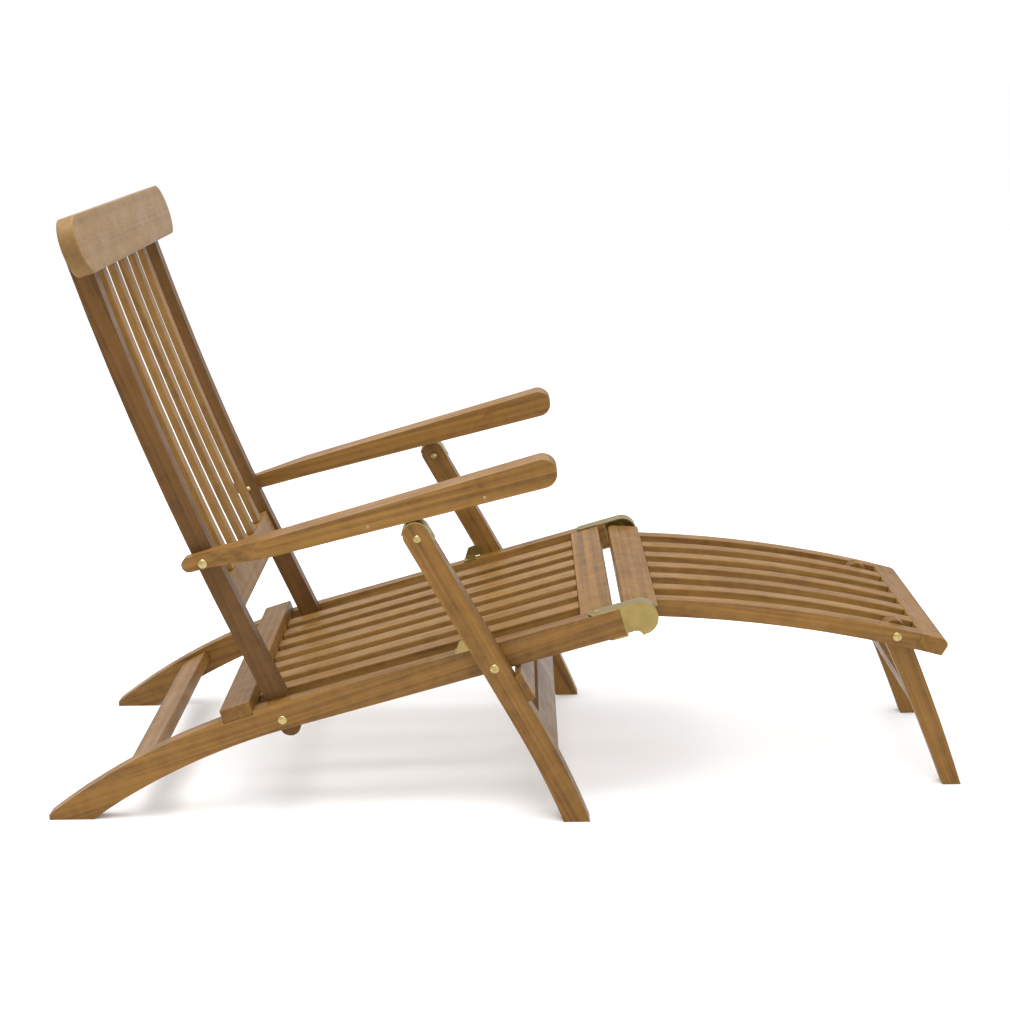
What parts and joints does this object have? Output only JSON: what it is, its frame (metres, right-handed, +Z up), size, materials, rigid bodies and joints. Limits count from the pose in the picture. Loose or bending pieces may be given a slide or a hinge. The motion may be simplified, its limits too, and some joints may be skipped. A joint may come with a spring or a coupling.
{
  "type": "folding deck chair",
  "caption": "Folding slatted teak deck chair with reclining back, flat arms, hinged footrest and brass pivot fittings.",
  "frame": {"origin": "centre of the bounding box in plan, at floor level, chair unfolded", "axes": "+X from the headrest end towards the foot end, +Y across the chair to the left arm, +Z up"},
  "size_m": [1.5381, 0.676, 0.9986],
  "materials": {
    "teak": "oiled, open grain, eased edges",
    "brass": "satin, slightly dulled"
  },
  "bodies": {
    "seat_frame": {"seat_rail_left": "teak", "seat_rail_right": "teak", "seat_front_crossbar": "teak", "seat_rear_crossbar": "teak", "rear_leg_stretcher": "teak", "seat_slat_1": "teak", "seat_slat_2": "teak", "seat_slat_3": "teak", "seat_slat_4": "teak", "seat_slat_5": "teak", "seat_slat_6": "teak", "seat_slat_7": "teak", "knee_cup_left": "brass", "knee_cup_right": "brass", "knee_cup_screws": "brass"},
    "back_pivot_bolts": {"back_pivot_bolts": "brass"},
    "back": {"back_upright_left": "teak", "back_upright_right": "teak", "headrest_board": "teak", "back_lower_crossbar": "teak", "back_slat_1": "teak", "back_slat_2": "teak", "back_slat_3": "teak", "back_slat_4": "teak", "back_slat_5": "teak"},
    "arm_bolt_left": {"arm_bolt_left": "brass"},
    "arm_bolt_right": {"arm_bolt_right": "brass"},
    "arm_left": {"arm_left": "teak", "arm_rack_left": "brass", "rack_pins_left": "brass"},
    "arm_right": {"arm_right": "teak", "arm_rack_right": "brass", "rack_pins_right": "brass"},
    "leg_frame": {"front_leg_left": "teak", "front_leg_right": "teak", "leg_stretcher": "teak", "seat_stop_bar": "teak", "leg_cap_left": "brass", "leg_cap_right": "brass", "leg_cap_bolts": "brass", "leg_cap_screws": "brass", "leg_stop_bracket_left": "brass", "leg_stop_bracket_right": "brass", "leg_pivot_bolts": "brass"},
    "footrest": {"footrest_stile_left": "teak", "footrest_stile_right": "teak", "footrest_crossbar": "teak", "footrest_nose_board": "teak", "footrest_slat_1": "teak", "footrest_slat_2": "teak", "footrest_slat_3": "teak", "footrest_slat_4": "teak", "footrest_slat_5": "teak", "footrest_pivot_pins": "brass"},
    "footrest_legs": {"footrest_leg_left": "teak", "footrest_leg_right": "teak", "footrest_leg_brace": "teak", "footrest_leg_bolts": "brass"}
  },
  "joints": [
    {"name": "fold", "type": "hinge", "parent": "seat_frame", "child": "leg_frame", "pos_m": [-0.02195, 0, 0.26799], "axis": [0, 1, 0], "range_deg": [0, 76]},
    {"name": "back_fold", "type": "hinge", "parent": "seat_frame", "child": "back_pivot_bolts", "pos_m": [-0.37202, 0, 0.17157], "axis": [0, 1, 0], "range_deg": [0, 76]},
    {"name": "recline", "type": "hinge", "parent": "back_pivot_bolts", "child": "back", "pos_m": [-0.37202, 0, 0.17157], "axis": [0, -1, 0], "range_deg": [0, 15]},
    {"name": "arm_fold_left", "type": "hinge", "parent": "back", "child": "arm_bolt_left", "pos_m": [-0.48689, 0, 0.43959], "axis": [0, 1, 0], "range_deg": [-85.55, 0]},
    {"name": "arm_recline_left", "type": "hinge", "parent": "arm_bolt_left", "child": "arm_left", "pos_m": [-0.48689, 0, 0.43959], "axis": [0, 1, 0], "range_deg": [0, 12.05]},
    {"name": "arm_fold_right", "type": "hinge", "parent": "back", "child": "arm_bolt_right", "pos_m": [-0.48689, 0, 0.43959], "axis": [0, 1, 0], "range_deg": [-85.55, 0]},
    {"name": "arm_recline_right", "type": "hinge", "parent": "arm_bolt_right", "child": "arm_right", "pos_m": [-0.48689, 0, 0.43959], "axis": [0, 1, 0], "range_deg": [0, 12.05]},
    {"name": "footrest_lift", "type": "hinge", "parent": "seat_frame", "child": "footrest", "pos_m": [0.21552, 0, 0.33859], "axis": [0, -1, 0], "range_deg": [0, 30]},
    {"name": "footrest_leg_fold", "type": "hinge", "parent": "footrest", "child": "footrest_legs", "pos_m": [0.64329, 0, 0.27782], "axis": [0, 1, 0], "range_deg": [0, 100]}
  ],
  "couplings": [
    {"joint": "back_fold", "follows": "fold", "ratio": 1},
    {"joint": "arm_fold_left", "follows": "fold", "ratio": -1.125},
    {"joint": "arm_recline_left", "follows": "recline", "ratio": 0.8},
    {"joint": "arm_fold_right", "follows": "fold", "ratio": -1.125},
    {"joint": "arm_recline_right", "follows": "recline", "ratio": 0.8}
  ]
}
